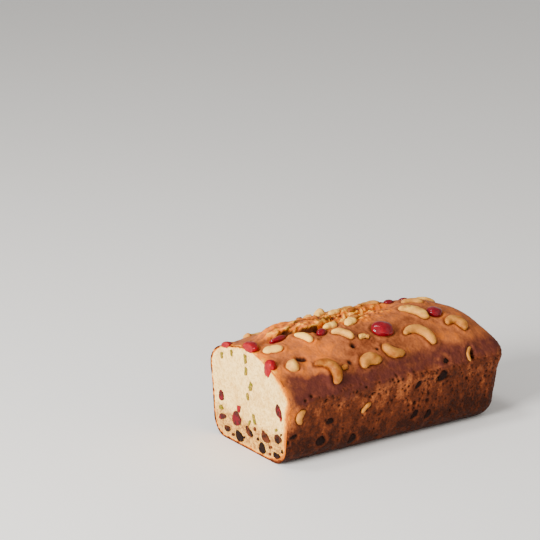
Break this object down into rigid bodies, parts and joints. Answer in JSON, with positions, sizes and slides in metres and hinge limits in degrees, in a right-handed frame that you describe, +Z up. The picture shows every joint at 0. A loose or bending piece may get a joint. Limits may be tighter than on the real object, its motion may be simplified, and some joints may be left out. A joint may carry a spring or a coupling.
{
  "type": "fruit cake loaf",
  "caption": "Rectangular fruit cake loaf with one end cut, a cracked brown crust set with cashews and glossy red cherries, and raisins in its pale crumb.",
  "frame": {"origin": "middle of the loaf's underside, where it rests", "axes": "+Z up, +X along the loaf away from its cut end, +Y across it towards the higher side of its crown"},
  "size_m": [0.1846, 0.0958, 0.0818],
  "materials": {
    "crust": "matte baked crust and crumb",
    "cashew": "satin roasted nut",
    "cherry": "glossy candied fruit",
    "raisin": "satin dried fruit"
  },
  "bodies": {
    "root": {"cake": "crust", "cashew_01": "cashew", "cashew_02": "cashew", "cashew_03": "cashew", "cashew_04": "cashew", "cashew_05": "cashew", "cashew_06": "cashew", "cashew_07": "cashew", "cashew_08": "cashew", "cashew_09": "cashew", "cashew_10": "cashew", "cashew_11": "cashew", "cashew_12": "cashew", "cashew_13": "cashew", "cashew_14": "cashew", "cashew_15": "cashew", "cashew_16": "cashew", "cashew_17": "cashew", "cashew_18": "cashew", "cashew_19": "cashew", "cashew_20": "cashew", "cashew_21": "cashew", "cashew_22": "cashew", "cashew_23": "cashew", "cashew_24": "cashew", "cashew_25": "cashew", "cherry_01": "cherry", "cherry_02": "cherry", "cherry_03": "cherry", "cherry_04": "cherry", "cherry_05": "cherry", "cherry_06": "cherry", "cherry_07": "cherry", "cherry_08": "cherry", "cherry_09": "cherry", "cherry_10": "cherry", "cherry_11": "cherry", "cherry_12": "cherry", "cherry_13": "cherry", "cherry_14": "cherry", "raisin_01": "raisin", "raisin_02": "raisin", "raisin_03": "raisin", "raisin_04": "raisin", "raisin_05": "raisin", "raisin_06": "raisin", "raisin_07": "raisin", "raisin_08": "raisin", "raisin_09": "raisin", "raisin_10": "raisin", "raisin_11": "raisin", "raisin_12": "raisin", "raisin_13": "raisin", "raisin_14": "raisin", "raisin_15": "raisin", "raisin_16": "raisin", "raisin_17": "raisin", "raisin_18": "raisin", "raisin_19": "raisin"}
  },
  "joints": []
}
